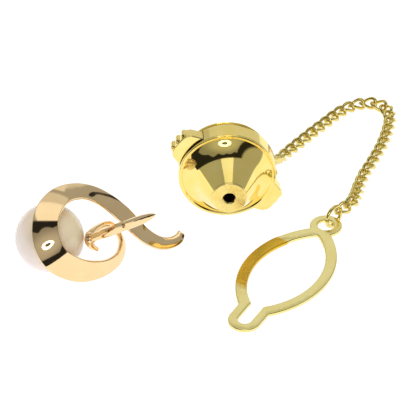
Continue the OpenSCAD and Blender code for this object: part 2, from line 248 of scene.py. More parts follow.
def stamped_gold():
    """The button loop's plate: evenly brushed and more glittery where the sheet is bent, with a deeper gold
    painted on the bent limb as reflected light.
    """
    n = Finish("loop_satin")
    length, width, _ = n.local(move(*LOOP_AT, 0) @ turn("Z", LOOP_DIR))
    bent_limb_painted_reflection = n.all_of(n.step(length, 4.2 * MM, 5.4 * MM), n.step(length, 14.6 * MM, 14.2 * MM),
                    n.step(width, 0.4 * MM, 0.9 * MM))
    glitter = n.all_of(bent_limb_painted_reflection, n.step(length, 11.0 * MM, 8.0 * MM))
    grain = n.noise(1.0, 3, n.stretched((2600, 14000, 2600), (0, 0, math.radians(-LOOP_DIR))))
    flakes = n.noise(5200, 2, distortion=1.0)
    tone = n.ramp(n.noise(500, 3), (0.94, 0.80, 0.30), (0.96, 0.85, 0.37))
    # painted reflection: the bent limb takes a deep orange gold that stands in for light bounced between the
    # gold surfaces
    colour = n.add("MixRGB", {0: bent_limb_painted_reflection, 1: tone, 2: (0.84, 0.52, 0.05, 1)}).outputs[0]
    return n.feed(Base_Color=colour, Metallic=1.0, Roughness=n.spread(grain, 0.16, 0.24),
                  Normal=n.bump(n.all_of(flakes, glitter), 0.09, 1.0, n.bump(grain, 0.0015, 0.6)))


YELLOW, YELLOW_DEEP = (0.98, 0.81, 0.30), (0.95, 0.74, 0.20)
bell_gold = gold("bell_gold", YELLOW, YELLOW_DEEP, 0.07, 16000, 0.0012)
case_gold = gold("case_gold", YELLOW, YELLOW_DEEP, 0.10, 14000, 0.002)
button_gold = gold("button_gold", YELLOW, (0.93, 0.70, 0.18), 0.10, 14000, 0.002)
chain_gold = gold("chain_gold", (0.88, 0.74, 0.27), (0.80, 0.64, 0.18), 0.10, 12000, 0.002)
karat_gold = gold("karat_gold", (0.96, 0.73, 0.41), (0.93, 0.68, 0.36), 0.055, 18000, 0.001)
nose_gold = turned_gold("nose_gold", (0.97, 0.80, 0.30), (0.93, 0.72, 0.22), 0.2, CLUTCH, 0.13)
bore_shadow = bore_painted_shade()
steel = spring_steel()
pearl_nacre = nacre()
loop_satin = stamped_gold()

# ---------- meshes ----------
WELD = 2e-7         # points nearer than this, in metres, become one


def piece(name, shape, place, material, body, nodes, slot, sharp=38, more=()):
    """A finished piece: it stands for its CAD nodes, rides on its body and takes the finish it is given."""
    points, faces = shape
    mesh = bpy.data.meshes.new(name)
    mesh.from_pydata((placed(points, place) * MM).tolist(), [], [list(map(int, f)) for f in faces])
    edit = bmesh.new()
    edit.from_mesh(mesh)
    bmesh.ops.remove_doubles(edit, verts=edit.verts, dist=WELD)
    bmesh.ops.recalc_face_normals(edit, faces=edit.faces)
    edit.to_mesh(mesh)
    edit.free()
    for m in (material, *more):
        mesh.materials.append(m)
    mesh.shade_smooth()
    mesh.set_sharp_from_angle(angle=math.radians(sharp))
    item = bpy.data.objects.new(name, mesh)
    scene.collection.objects.link(item)
    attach(item, body)
    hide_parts(*nodes)
    return item


def clutch_piece(name, shape, nodes, material=case_gold, slot="yellow_gold_plate", **options):
    return piece(name, shape, CLUTCH, material, "clutch", nodes, slot, **options)


def ornament_piece(name, shape, place, nodes, **options):
    return piece(name, shape, place, karat_gold, "ornament", nodes, "karat_gold", **options)


def fillet(corners, steps=5):
    """A closed outline of (a, b, radius) corners, each rounded by its radius."""
    out = []
    count = len(corners)
    for i, (x, y, radius) in enumerate(corners):
        here = np.array([x, y], float)
        before = np.array(corners[i - 1][:2], float) - here
        after = np.array(corners[(i + 1) % count][:2], float) - here
        near, far = np.linalg.norm(before), np.linalg.norm(after)
        if radius <= 0 or near < 1e-9 or far < 1e-9:
            out.append(here)
            continue
        u, v = before / near, after / far
        half = math.acos(max(-1, min(1, float(u @ v)))) / 2
        cut = min(radius / math.tan(half), near * 0.49, far * 0.49)
        radius = cut * math.tan(half)
        centre = here + unit(u + v) * radius / math.sin(half)
        start, end = here + u * cut - centre, here + v * cut - centre
        span = math.atan2(start[0] * end[1] - start[1] * end[0], start @ end)
        base = math.atan2(start[1], start[0])
        out += [centre + radius * np.array([math.cos(a), math.sin(a)])
                for a in (base + span * k / steps for k in range(steps + 1))]
    return out


def sweep(rings, closed=False):
    """Points and faces of a skin over rings of equal length."""
    n, m = len(rings), len(rings[0])
    points = [p for ring in rings for p in ring]
    faces = [(i * m + j, i * m + (j + 1) % m, (i + 1) % n * m + (j + 1) % m, (i + 1) % n * m + j)
             for i in range(n if closed else n - 1) for j in range(m)]
    if not closed:
        faces += [tuple(range(m)), tuple(range((n - 1) * m, n * m))]
    return points, faces


def revolve(profile, segments=144):
    """Points and faces of a closed (radius, height) profile turned about Z."""
    return sweep([[(max(r, 0) * math.cos(a), max(r, 0) * math.sin(a), z) for r, z in profile]
                  for a in round_angles(segments)], closed=True)


def tube_ring(centre, u, v, radius, sides):
    """A ring of points around a centre, in the plane of u and v."""
    return [centre + radius * (math.cos(w) * u + math.sin(w) * v) for w in round_angles(sides)]


def joined(*shapes):
    """Several shapes, each of points and faces, as one."""
    points, faces = [], []
    for more_points, more_faces in shapes:
        faces += [tuple(i + len(points) for i in face) for face in more_faces]
        points += list(more_points)
    return points, faces


def smooth(stations, steps):
    """A smooth curve through stations, the same one that the CAD uses."""
    p = np.array(stations, float)
    p = np.vstack([2 * p[0] - p[1], p, 2 * p[-1] - p[-2]])
    out = []
    for k in range((len(stations) - 1) * steps + 1):
        i = min(k // steps, len(stations) - 2)
        t = k / steps - i
        a, b, c, d = p[i:i + 4]
        out.append(0.5 * (2 * b + (c - a) * t + (2 * a - 5 * b + 4 * c - d) * t * t
                          + (3 * b - a - 3 * c + d) * t ** 3))
    return np.array(out)


# ---------- clutch ----------
# along the drum's axis, 0 is the rim of the bell, plus is towards the nose and minus towards the rear cover
DRUM_R, DRUM_DEPTH, WALL = 5.6, 2.1, 0.35
INNER_R = DRUM_R - WALL
NOSE_R, NOSE_REACH, NOSE_EDGE, HOLE_R = 2.05, 4.5, 0.25, 0.65
BUTTON_H, BUTTON_HALF, BUTTON_Z = 1.5, 2.2, -1.9
PLATE_REAR, PLATE_FRONT = -2.4, -2.1


def case_wall():
    """The drum's side wall: two skins with a slot for each button, and softened ends."""
    play, crisp, softened = 0.07, 0.03, 0.02
    slot_low, slot_high = BUTTON_Z - play, BUTTON_Z + BUTTON_H + 0.2
    heights = [-DRUM_DEPTH, -DRUM_DEPTH + crisp, slot_low, slot_low + crisp, -1.4, -1.1, -0.8, -0.5,
               slot_high - crisp, slot_high, -crisp, 0.0]
    slot_steps, wall_steps = 16, 40

    def ring(radius):
        """Angles around one skin, each with whether it begins a step across a slot."""
        half = math.degrees(math.asin((BUTTON_HALF + play) / radius))
        out = []
        for side in (BUTTON_ANGLE, 180 + BUTTON_ANGLE):
            out += [(side - half + 2 * half * k / slot_steps, True) for k in range(slot_steps)]
            out += [(side + half + (180 - 2 * half) * k / wall_steps, False) for k in range(wall_steps)]
        return out

    outer = ring(DRUM_R)
    count, rows = len(outer), len(heights)
    points, faces = [], []
    for radius, angles in ((DRUM_R, outer), (INNER_R, ring(INNER_R))):
        for z in heights:
            at_end = radius == DRUM_R and z in (heights[0], heights[-1])
            r = radius - (softened if at_end else 0)
            points += [(r * math.cos(math.radians(a)), r * math.sin(math.radians(a)), z) for a, _ in angles]
    skin = count * rows                     # from a point of the outer skin to its neighbour on the inner one
    gaps = {(i, k) for i in range(rows - 1) for k in range(count)
            if outer[k][1] and slot_low <= heights[i] and heights[i + 1] <= slot_high}
    for i in range(rows - 1):
        for k in range(count):
            a, b = i * count + k, i * count + (k + 1) % count
            c, d = b + count, a + count
            if (i, k) not in gaps:
                faces += [(a, b, c, d), (a + skin, b + skin, c + skin, d + skin)]
                continue
            edges = [((i - 1, k), a, b), ((i + 1, k), d, c),
                     ((i, (k - 1) % count), a, d), ((i, (k + 1) % count), b, c)]
            faces += [(p, q, q + skin, p + skin) for beside, p, q in edges if beside not in gaps]
    for first in (0, (rows - 1) * count):
        rim = [(first + k, first + (k + 1) % count) for k in range(count)]
        faces += [(p, q, q + skin, p + skin) for p, q in rim]
    return points, faces


clutch_piece("Clutch_case", case_wall(), ["case_band"], sharp=45)

# the bell's flared outline: an arc that lies flat at the rim and steepens, then a straight cone to the nose
RIM_R, RIM_SLOPE, CONE_SLOPE, BELL_WALL = 5.15, math.radians(28), math.radians(61), 0.3
bell_end = np.array([NOSE_R, NOSE_REACH - NOSE_EDGE])
bell_r = (((RIM_R - NOSE_R) * math.sin(CONE_SLOPE) - bell_end[1] * math.cos(CONE_SLOPE))
          / (1 - math.cos(CONE_SLOPE - RIM_SLOPE)))


def bell_outline(inset, arc_steps=40, cone_steps=12):
    out = [(RIM_R - bell_r * (math.sin(a) - math.sin(RIM_SLOPE)) - inset * math.sin(a),
            max(0.0, bell_r * (math.cos(RIM_SLOPE) - math.cos(a)) - inset * math.cos(a)))
           for a in np.linspace(RIM_SLOPE, CONE_SLOPE, arc_steps)]
    end = bell_end - inset * np.array([math.sin(CONE_SLOPE), math.cos(CONE_SLOPE)])
    return out + [tuple(out[-1] + (end - out[-1]) * k / cone_steps) for k in range(1, cone_steps + 1)]


def settled(x, y, z):
    """The thin bell is a little fuller along its underside."""
    most = 0.14
    radius = math.hypot(x, y)
    low = share(-y / radius, 0.35, 0.7)
    bulge = most * low * low * (3 - 2 * low) * math.sin(math.pi * (RIM_R - radius) / (RIM_R - NOSE_R))
    return x * (1 + bulge / radius), y * (1 + bulge / radius), z + bulge


bell_points, bell_faces = revolve(bell_outline(0) + bell_outline(BELL_WALL)[::-1], 192)
bell_points = [settled(*p) if NOSE_R < math.hypot(*p[:2]) < RIM_R else p for p in bell_points]
clutch_piece("Clutch_bell", (bell_points, bell_faces), ["front_bell"], bell_gold)
bead = fillet([(RIM_R, 0, 0), (5.52, 0, 0.02), (5.52, 0.07, 0.05), (5.43, 0.11, 0.08), (5.3, 0.09, 0.12),
               (5.17, 0.02, 0.01)], 6)
clutch_piece("Clutch_rim_bead", revolve(bead, 192), ["rim_bead"], sharp=60)

# nose: a turned flat face with fine grooves, a soft edge and a countersunk hole, whose inside has painted
# shade
BUSH_R, BUSH_START = 1.25, 0.6
GROOVES, GROOVE_PITCH, GROOVE_W = 9, 0.125, 0.055
grooves = []
for k in range(GROOVES):
    r = NOSE_R - 0.24 - k * GROOVE_PITCH
    grooves += [(r, NOSE_REACH - 0.004, 0), (r - GROOVE_W, NOSE_REACH - 0.014, 0)]
bush = fillet([(BUSH_R, BUSH_START, 0.03), (BUSH_R, NOSE_REACH - NOSE_EDGE - 0.03, 0),
               (NOSE_R, NOSE_REACH - NOSE_EDGE, 0.03), (NOSE_R - 0.08, NOSE_REACH - 0.02, 0.06)] + grooves
              + [(HOLE_R + 0.16, NOSE_REACH - 0.006, 0.03), (HOLE_R, NOSE_REACH - 0.17, 0.05),
                 (HOLE_R, BUSH_START, 0.03)], 4)
nose = clutch_piece("Clutch_nose", revolve(bush), ["nose_bush"], nose_gold, "turned_gold", sharp=50,
                    more=(bore_shadow,))
centres = placed([np.array(face.center) / MM for face in nose.data.polygons], np.linalg.inv(CLUTCH))
for face, (x, y, _) in zip(nose.data.polygons, centres):
    if math.hypot(x, y) < HOLE_R + 0.06:
        face.material_index = 1

PLATE_R, PLATE_HOLE_R = INNER_R - 0.05, 0.8
plate = fillet([(PLATE_R, PLATE_REAR, 0.02), (PLATE_R, PLATE_FRONT, 0.02), (PLATE_HOLE_R, PLATE_FRONT, 0.05),
                (PLATE_HOLE_R, PLATE_REAR, 0.05)], 3)
clutch_piece("Clutch_base_plate", revolve(plate, 96), ["base_plate"])
RING_OUTER_R = INNER_R + 0.15
rear_ring = fillet([(PLATE_R, PLATE_REAR, 0.02), (RING_OUTER_R, PLATE_REAR, 0.08),
                    (RING_OUTER_R, PLATE_FRONT, 0.02), (PLATE_R, PLATE_FRONT, 0.02)], 4)
clutch_piece("Clutch_rear_ring", revolve(rear_ring, 160), ["rear_ring"])

# rear cover: a low dome with a flat middle, and on its outer skin a rolled lip behind a groove
COVER_R, COVER_DEPTH, COVER_WALL, FLAT_R = 5.05, 2.4, 0.3, 3.5


def dome(inset, start=0.0, end=90.0, steps=16):
    reach, depth = COVER_R - inset - FLAT_R, COVER_DEPTH - inset
    return [(FLAT_R + reach * math.cos(a), PLATE_REAR - depth * math.sin(a))
            for a in np.radians(np.linspace(start, end, steps))]


lip = [(4.87, -3.3), (4.84, -3.36), (4.99, -3.37), (5.05, -3.42), (5.05, -3.5), (4.97, -3.56), (4.82, -3.64)]
middle = [(1.8, -4.88), (0, -4.95), (0, -4.65), (1.8, -4.58)]
cover = dome(0, 0, 21, 6) + lip + dome(0, 34, 90, 14) + middle + dome(COVER_WALL)[::-1]
clutch_piece("Clutch_rear_cover", revolve(cover, 160), ["rear_cover"])


def chain_eye():
    """Eye for the chain: a drawn wire loop on a short shank."""
    eye_r, wire_r = 0.75, 0.16
    circle = [(eye_r + wire_r * math.cos(a), wire_r * math.sin(a)) for a in round_angles(16)]
    eye_points, eye_faces = revolve(circle, 56)
    shank = fillet([(0, -1.5, 0), (0.3, -1.5, 0.03), (0.3, -0.7, 0.08), (0, -0.7, 0)], 4)
    shank_points, shank_faces = revolve(shank, 32)
    return joined((placed(eye_points, turn("Y", -35) @ turn("X", 90)), eye_faces),
                  (placed(shank_points, turn("Y", 90)), shank_faces))


piece("Clutch_chain_eye", chain_eye(), CLUTCH @ turn("Z", -20) @ move(5.5, 0, -3.4), case_gold, "clutch",
      ["chain_lug"], "yellow_gold_plate")

# ---------- push buttons and their springs ----------
FRONT_R, BUTTON_ROOT, BUTTON_MIDDLE = 7.05, 3.9, (5.0, 0.0)
RIB_AT, RIB_R, RIB_ANGLES = 6.92, 0.38, (-8, 0, 8)
front_half = math.asin((BUTTON_HALF - 0.95) / FRONT_R)
side_corners = [(BUTTON_ROOT, BUTTON_HALF, 0.05), (5.2, BUTTON_HALF, 0.6), (6.5, BUTTON_HALF - 0.45, 0.5)]
button_body = fillet([(x, -y, r) for x, y, r in side_corners]
                     + [(FRONT_R * math.cos(a), FRONT_R * math.sin(a), 0.25)
                        for a in np.linspace(-front_half, front_half, 9)] + side_corners[::-1], 5)


def ray_circle(cx, cy, r, ox, oy, dx, dy):
    """Distance from a point to the far side of a circle, along a direction, or 0 where it misses."""
    b = (ox - cx) * dx + (oy - cy) * dy
    c = (ox - cx) ** 2 + (oy - cy) ** 2 - r * r
    d = b * b - c
    return -b + math.sqrt(d) if d >= 0 else 0.0


def ray_polygon(outline, ox, oy, dx, dy):
    """Distance from a point inside a closed outline to the outline, along a direction."""
    a = np.array(outline) - (ox, oy)
    b = np.roll(a, -1, 0) - a
    cross = dx * b[:, 1] - dy * b[:, 0]
    cross[np.abs(cross) < 1e-12] = 1e-12
    reach = (a[:, 0] * b[:, 1] - a[:, 1] * b[:, 0]) / cross
    along_edge = (a[:, 0] * dy - a[:, 1] * dx) / cross
    return max(r for r, t in zip(reach, along_edge) if -1e-9 <= t <= 1 + 1e-9)


def button_outline(ribs, inset, steps=400):
    """Outline of a push button seen along the drum's axis, with its ribs grown by a share."""
    ox, oy = BUTTON_MIDDLE
    out = []
    for k in range(steps):
        a = 2 * math.pi * k / steps
        dx, dy = math.cos(a), math.sin(a)
        body = ray_polygon(button_body, ox, oy, dx, dy)
        tips = max(ray_circle(RIB_AT * math.cos(t), RIB_AT * math.sin(t), RIB_R, ox, oy, dx, dy)
                   for t in np.radians(RIB_ANGLES))
        r = body + max(0.0, tips - body) * ribs - inset
        out.append((ox + r * dx, oy + r * dy))
    return out


def button_mesh():
    """A button: ribs on its lower part that fade into a smooth upper part, and rounded edges."""
    edge, soft, fade_from, fade = 0.16, 0.1, 1.05, 0.15
    levels = [(0.0, 1.0, 0.6)]              # (height, growth of the ribs, inset of the outline)
    levels += [(edge * (1 - math.cos(a)), 1.0, edge * (1 - math.sin(a)))
               for a in np.linspace(0, math.pi / 2, 6)]
    levels += [(z, 1.0, 0.0) for z in (0.5, 0.9)]
    levels += [(fade_from + fade * k / 6, 0.5 + 0.5 * math.cos(math.pi * k / 6), 0.0) for k in range(7)]
    levels += [(BUTTON_H - soft + soft * math.sin(a), 0.0, soft * (1 - math.cos(a)))
               for a in np.linspace(0.1, math.pi / 2, 8)]
    levels.append((BUTTON_H, 0.0, soft + 0.5))
    return sweep([[(x, y, z) for x, y in button_outline(ribs, inset)] for z, ribs, inset in levels])


for facing, word in ((180, "left"), (0, "right")):
    button_place = CLUTCH @ turn("Z", BUTTON_ANGLE + facing) @ move(0, 0, BUTTON_Z)
    piece("Button_" + word, button_mesh(), button_place, button_gold, "button_" + word,
          ["push_button_" + word], "yellow_gold_plate", sharp=35)

# the two coil springs between the buttons' roots, which the pinched buttons shorten from both ends; here each
# is a fixed coil with a mesh of its own
SPRING_SPAN, SPRING_R, SPRING_WIRE, PINCH = 7.5, 0.4, 0.11, 0.6
SPRING_ASIDE, SPRING_Z = 2.3, -1.1


def coil(aside, turns=7, steps=24, sides=10):
    rings = []
    for k in range(turns * steps + 1):
        a, x = 2 * math.pi * k / steps, (k / (turns * steps) - 0.5) * SPRING_SPAN
        outward = np.array([0, math.cos(a), math.sin(a)])
        centre = np.array([x, aside, SPRING_Z]) + SPRING_R * outward
        rings.append(tube_ring(centre, outward, np.array([-1, 0, 0]), SPRING_WIRE, sides))
    return sweep(rings)


across_drum = CLUTCH @ turn("Z", BUTTON_ANGLE)
for word, aside in (("upper", SPRING_ASIDE), ("lower", -SPRING_ASIDE)):
    spring = piece("Spring_" + word, coil(aside), across_drum, steel, "clutch", ["spring_" + word],
                   "spring_steel")
    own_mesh(spring)

# ---------- chain ----------
# the chain's route from the clutch to the loop: x, y, z and the roll of the links in degrees
ROUTE = [
    (7.34, 3.3, 3.49, -60), (7.5, 4.8, 3, -50), (7.85, 6.6, 1.9, -36), (8.5, 8.6, 1, -20),
    (9.9, 11, 0.65, -6), (11.5, 13.2, 0.6, 0), (13, 15.2, 0.6, 0), (14.5, 17.1, 0.6, 0),
    (16.1, 19.1, 0.6, 0), (18, 20.6, 0.6, 5), (20, 20.9, 0.68, 15), (21.6, 19.85, 0.75, 24),
    (22.15, 17.75, 0.78, 30), (21.7, 14.9, 0.78, 32), (20.8, 11.7, 0.78, 30), (19.6, 8.5, 0.78, 28),
    (18.5, 5.9, 0.78, 28), (17.7, 3.2, 0.92, 24), (17.2, 0.8, 1.3, 14), (16.55, -1.3, 1.68, 0),
    (15.55, -2.4, 1.6, -12)]
LINKS, LINKS_A_BODY, CHAIN_OFFSET = 35, 3, np.array([-0.655, 0.68, 0])
HALF_L, HALF_W, RISE, WIRE = 0.98, 0.63, 0.32, 0.4
walk = smooth(ROUTE, 8)
walked = np.concatenate([[0], np.cumsum(np.linalg.norm(np.diff(walk[:, :3], axis=0), axis=1))])


def along(s):
    return np.array([np.interp(s, walked, walk[:, k]) for k in range(4)])


def link_mesh(i, segments=72, sides=16, look=0.3):
    """Shape and place of one curb link: an oval of wire that rises and falls twice on its way round."""
    s = i * walked[-1] / (LINKS - 1)
    x = unit(along(min(s + look, walked[-1]))[:3] - along(max(s - look, 0))[:3])
    flat = unit(np.cross([0, 0, 1], x))
    roll = math.radians(along(s)[3])
    y = math.cos(roll) * flat + math.sin(roll) * np.cross(x, flat)
    axes = np.array([x, y, np.cross(x, y)])
    rings = []
    for t in round_angles(segments):
        p = np.array([HALF_L * math.cos(t), HALF_W * math.sin(t), RISE * math.sin(2 * t)])
        d = unit([-HALF_L * math.sin(t), HALF_W * math.cos(t), 2 * RISE * math.cos(2 * t)])
        a = unit(np.cross(d, [0, 0, 1]))
        rings.append(np.array(tube_ring(p, a, np.cross(a, d), WIRE / 2, sides)) @ axes)
    return sweep(rings, closed=True), move(*(along(s)[:3] + CHAIN_OFFSET))


for i in range(LINKS):
    link, place = link_mesh(i)
    number = "%02d" % (i + 1)
    piece("Chain_link_" + number, link, place, chain_gold, "chain_%02d" % (i // LINKS_A_BODY + 1),
          ["chain_link_" + number], "chain_gold")

# ---------- jump ring and button loop ----------
# the loop lies along X: 0 is the middle of its keyhole end, LOOP_L the middle of its eye
EYE_HOLE, EYE_R, NECK_R, SLOT = 0.95, 1.85, 1.88, 0.78
LEAF_R, LEAF_HALF, OPEN_R, OPEN_HALF, LEAF_MID, SHEET = 10.9, 5.0, 9.3, 3.73, 9.6, 0.4
SHEET_EDGE, SHEET_BURR, GRID = 0.13, 0.04, 0.42
RING_R, RING_WIRE, RING_DIR = 1.23, 0.45, 48
ring_z = RING_R + RING_WIRE / 2
ring_at = np.array(LOOP_AT) + LOOP_L * heading(LOOP_DIR) + (EYE_HOLE + EYE_R) / 2 * heading(RING_DIR)


def cut_ring():
    """A wire ring with a fine saw cut, its two ends almost shut."""
    gap, cut_at, steps, sides = 1.6, 205, 110, 20
    rings = []
    for a in np.radians(np.linspace(cut_at + gap / 2, cut_at + 360 - gap / 2, steps)):
        outward = np.array([math.cos(a), math.sin(a), 0])
        rings.append(tube_ring(RING_R * outward, outward, np.array([0, 0, 1]), RING_WIRE / 2, sides))
    return sweep(rings)


piece("Jump_ring", cut_ring(), move(*ring_at, ring_z) @ turn("Z", RING_DIR) @ turn("X", 90), chain_gold,
      "jump_ring", ["jump_ring"], "chain_gold")


def arc(cx, cy, r, start, end, steps):
    """Points on an arc from one angle to another, in degrees, without its last point."""
    return [(cx + r * math.cos(math.radians(start + (end - start) * k / steps)),
             cy + r * math.sin(math.radians(start + (end - start) * k / steps))) for k in range(steps)]


def angle_of(cx, cy, x, y):
    return math.degrees(math.atan2(y - cy, x - cx))


def loop_contours():
    """Outer outline, opening and eye hole of the button loop, each anticlockwise."""
    dip = LEAF_R - LEAF_HALF
    corner_x = LEAF_MID - math.sqrt(LEAF_R ** 2 - (NECK_R + dip) ** 2)
    # where the leaf's arc meets the eye's circle
    low, high = LOOP_L - EYE_R, LOOP_L
    for _ in range(50):
        mid = (low + high) / 2
        leaf_y = math.sqrt(max(0, LEAF_R ** 2 - (mid - LEAF_MID) ** 2)) - dip
        eye_y = math.sqrt(max(0, EYE_R ** 2 - (mid - LOOP_L) ** 2))
        low, high = (mid, high) if leaf_y > eye_y else (low, mid)
    meet_y = math.sqrt(EYE_R ** 2 - (low - LOOP_L) ** 2)
    leaf_from = angle_of(LEAF_MID, dip, corner_x, -NECK_R)
    leaf_to = angle_of(LEAF_MID, dip, low, -meet_y)
    eye_from = angle_of(LOOP_L, 0, low, -meet_y)
    outer = arc(0, 0, NECK_R, 90, 270, 40)
    outer += [(corner_x * k / 5, -NECK_R) for k in range(5)]
    outer += arc(LEAF_MID, dip, LEAF_R, leaf_from, leaf_to, 110)
    outer += arc(LOOP_L, 0, EYE_R, eye_from, -eye_from, 60)
    outer += arc(LEAF_MID, -dip, LEAF_R, -leaf_to, -leaf_from, 110)
    outer += [(corner_x * (1 - k / 5), NECK_R) for k in range(5)]
    dip = OPEN_R - OPEN_HALF
    slot_x = LEAF_MID - math.sqrt(OPEN_R ** 2 - (SLOT + dip) ** 2)
    tip_x = LEAF_MID + math.sqrt(OPEN_R ** 2 - dip ** 2)
    open_from, open_to = angle_of(LEAF_MID, dip, slot_x, -SLOT), angle_of(LEAF_MID, dip, tip_x, 0)
    opening = arc(0, 0, SLOT, 90, 270, 24)
    opening += [(slot_x * k / 6, -SLOT) for k in range(6)]
    opening += arc(LEAF_MID, dip, OPEN_R, open_from, open_to, 100)
    opening += arc(LEAF_MID, -dip, OPEN_R, -open_to, -open_from, 100)
    opening += [(slot_x * (1 - k / 6), SLOT) for k in range(6)]
    return outer, opening, arc(LOOP_L, 0, EYE_HOLE, 0, 360, 56)


def inset_contour(contour, distance):
    """A contour moved by a distance towards its left-hand side, with mitred corners."""
    c = np.array(contour)
    before, after = c - np.roll(c, 1, 0), np.roll(c, -1, 0) - c
    before /= np.linalg.norm(before, axis=1)[:, None]
    after /= np.linalg.norm(after, axis=1)[:, None]
    n1, n2 = np.c_[-before[:, 1], before[:, 0]], np.c_[-after[:, 1], after[:, 0]]
    middle = n1 + n2
    middle /= np.linalg.norm(middle, axis=1)[:, None]
    stretch = 1 / np.maximum(0.5, (middle * n1).sum(axis=1))
    return c + middle * (distance * stretch)[:, None]


def bow(x, y):
    """How far the sheet is out of flat: one limb is twisted a little, and the sheet dips near its eye."""
    twist, limb_half, limb_r, limb_dip = 0.13, 0.8, 10.1, 5.73
    limb_middle = math.sqrt(max(0.0, limb_r ** 2 - (x - LEAF_MID) ** 2)) - limb_dip
    twisted = share(x, 3.6, 6.1) * share(x, 15.0, 14.1) * share(y, 0.5, 1.5)
    dip = 0.02 * math.exp(-((x - 14) / 4) ** 2)
    return twist * twisted * max(-1.0, min(1.0, (y - limb_middle) / limb_half)) - dip


def inside(x, y, polygon):
    hit = False
    for (x1, y1), (x2, y2) in zip(polygon, polygon[1:] + polygon[:1]):
        if (y1 > y) != (y2 > y) and x < (x2 - x1) * (y - y1) / (y2 - y1) + x1:
            hit = not hit
    return hit


def fill_between(loops, z, points, faces):
    """Add the grid points and triangles that fill a flat sheet between its loops of points."""
    polygons = [[points[v][:2] for v in loop] for loop in loops]
    rim = [v for loop in loops for v in loop]
    outline = np.array([points[v][:2] for v in rim])

    def in_sheet(x, y):
        return inside(x, y, polygons[0]) and not any(inside(x, y, hole) for hole in polygons[1:])

    grid = [(x, y) for x in np.arange(-2, 22, GRID) for y in np.arange(-5.2, 5.3, GRID)
            if in_sheet(x, y) and np.min(np.hypot(outline[:, 0] - x, outline[:, 1] - y)) > GRID * 0.45]
    numbers = rim + list(range(len(points), len(points) + len(grid)))
    points += [(x, y, z) for x, y in grid]
    edges, start = [], 0
    for loop in loops:
        edges += [(start + j, start + (j + 1) % len(loop)) for j in range(len(loop))]
        start += len(loop)
    flat = [Vector(points[v][:2]) for v in numbers]
    verts, _, triangles, origin, _, _ = geometry.delaunay_2d_cdt(flat, edges, [], 0, 1e-6)
    for triangle in triangles:
        x, y = sum(verts[v].x for v in triangle) / 3, sum(verts[v].y for v in triangle) / 3
        if in_sheet(x, y):
            faces.append(tuple(numbers[origin[v][0]] for v in triangle))


def stamped_sheet(contours):
    """A sheet with holes, cut from its contours: rounded top edges, small burr edges below."""
    rows = [(SHEET_BURR, 0.0), (0.0, SHEET_BURR)]           # (inset, height)
    rows += [(SHEET_EDGE * (1 - math.cos(a)), SHEET - SHEET_EDGE + SHEET_EDGE * math.sin(a))
             for a in np.linspace(0, math.pi / 2, 6)]
    points, faces = [], []
    caps = {0: [], len(rows) - 1: []}
    for contour, side in zip(contours, (1, -1, -1)):
        start, count = len(points), len(contour)
        for inset, z in rows:
            points += [(x, y, z) for x, y in inset_contour(contour, side * inset)]
        faces += [(start + i * count + j, start + i * count + (j + 1) % count,
                   start + (i + 1) * count + (j + 1) % count, start + (i + 1) * count + j)
                  for i in range(len(rows) - 1) for j in range(count)]
        for i, loops in caps.items():
            loops.append([start + i * count + j for j in range(count)])
    for i, loops in caps.items():
        fill_between(loops, rows[i][1], points, faces)
    return [(x, y, z + bow(x, y)) for x, y, z in points], faces


# the loop's keyhole end rests on the ground, and its eye is held up a little by the ring
EYE_BELOW_RING = 0.83
loop_tilt = math.degrees(math.asin((ring_z - EYE_BELOW_RING) / (LOOP_L + 1.9)))
loop_place = (move(*LOOP_AT, 0) @ turn("Z", LOOP_DIR) @ move(-NECK_R, 0, 0) @ turn("Y", -loop_tilt)
              @ move(NECK_R, 0, 0))
piece("Button_loop", stamped_sheet(loop_contours()), loop_place, loop_satin, "button_loop", ["button_loop"],
      "loop_gold", sharp=50)

# ---------- ornament ----------
# the ribbon's stations from its tail to its inner curl: x, y, z, width and lean in degrees
STATIONS = [
    (11.1, -4.6, 2.25, 0.95, 0), (10.5, -5.05, 2.15, 1.2, 0), (9.3, -5.2, 2, 1.3, 0),
    (7.7, -4.8, 1.9, 1.55, 0), (6.1, -3.6, 1.8, 1.9, 0), (5.2, -2, 1.5, 2.1, 0),
    (4.5, -0.3, 1.1, 2.2, 0), (3.5, 1.4, 0.7, 2.2, 5), (2.2, 2.9, 0.2, 2.2, 15),
    (0.3, 3.9, -0.2, 2.3, 30), (-2.1, 4.05, -0.6, 2.5, 40), (-4.3, 3, -0.9, 2.8, 45),
    (-5.7, 1.3, -1, 2.9, 47), (-6.2, -0.9, -1, 3, 45), (-5.4, -3, -1, 3, 42),
    (-2.7, -4.8, -0.95, 2.7, 42), (0.3, -5.4, -0.7, 2.2, 42), (2.8, -5, -0.55, 1.7, 36),
    (4.2, -4, -0.55, 1.3, 28), (4.8, -2.8, -0.6, 1.1, 35), (4.6, -1.4, -0.8, 1.1, 60),
    (3.5, -0.5, -0.8, 1.2, 80), (2, -0.4, -0.8, 1.2, 85), (0.4, -0.8, -0.8, 1.2, 85),
    (-0.5, -1.7, -0.7, 1.1, 85), (-0.4, -2.6, -0.7, 0.8, 85), (0.3, -3.2, -0.7, 0.3, 85)]
STATION_STEPS = 14
RIBBON_T, RIBBON_EDGE = 0.8, 0.3
CROWN, HOLLOW = 0.06, 0.14


def ribbon_section(width, thick, crown):
    """Section of the ribbon: (across, back) points, a domed front, a back with a low crown and soft edges."""
    half, edge = width / 2, min(RIBBON_EDGE, thick)
    soft = min(0.09, edge * 0.3, half * 0.3)
    corner = [(soft * (1 - math.sin(a)), -soft * (1 - math.cos(a))) for a in np.linspace(0.3, math.pi / 2, 4)]
    back = [((half - soft) * s, crown * (1 - s * s)) for s in (1 - k / 10 for k in range(21))]
    front = [(half * s, -edge - (thick - edge) * (1 - abs(s) ** 2.2))
             for s in (-1 + k / 12 for k in range(25))]
    return back + [(u - half, v) for u, v in corner] + front + [(half - u, v) for u, v in corner[::-1]]


